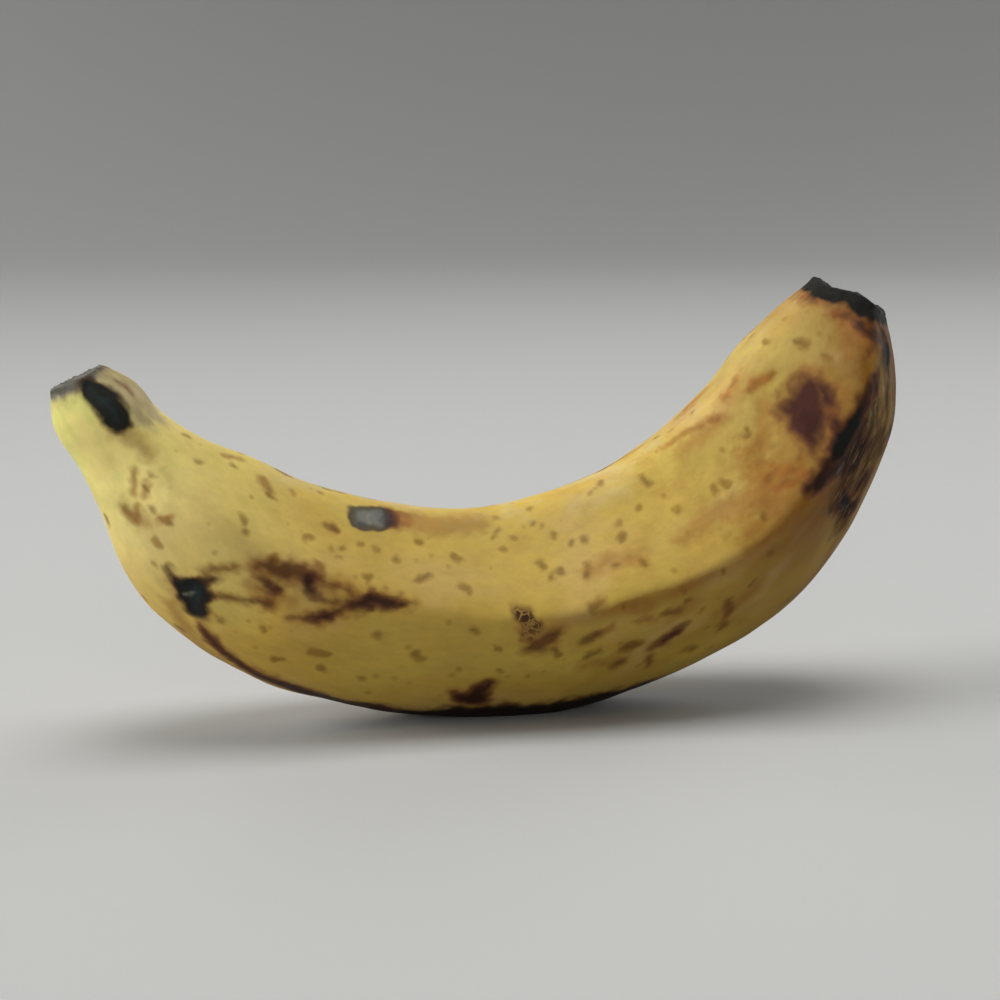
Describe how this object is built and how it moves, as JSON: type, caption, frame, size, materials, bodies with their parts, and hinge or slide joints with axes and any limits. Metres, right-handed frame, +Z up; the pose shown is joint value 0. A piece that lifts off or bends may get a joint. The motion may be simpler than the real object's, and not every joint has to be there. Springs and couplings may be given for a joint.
{
  "type": "banana",
  "caption": "Whole ripe banana with a short cut stem, five-sided curved body and dried blossom end, resting on its outer curve.",
  "frame": {"origin": "on the ground, under the middle of the fruit's bounding box; z = 0 is the small flat spot it rests on", "axes": "+X from the stem towards the blossom end, along the chord of the curve; +Z up; -Y is the side that faces the viewer in the picture"},
  "size_m": [0.1556, 0.0408, 0.0784],
  "materials": {
    "peel": "satin, waxy, yellow with brown and black marks"
  },
  "bodies": {
    "root": {"banana": "peel"}
  },
  "joints": []
}
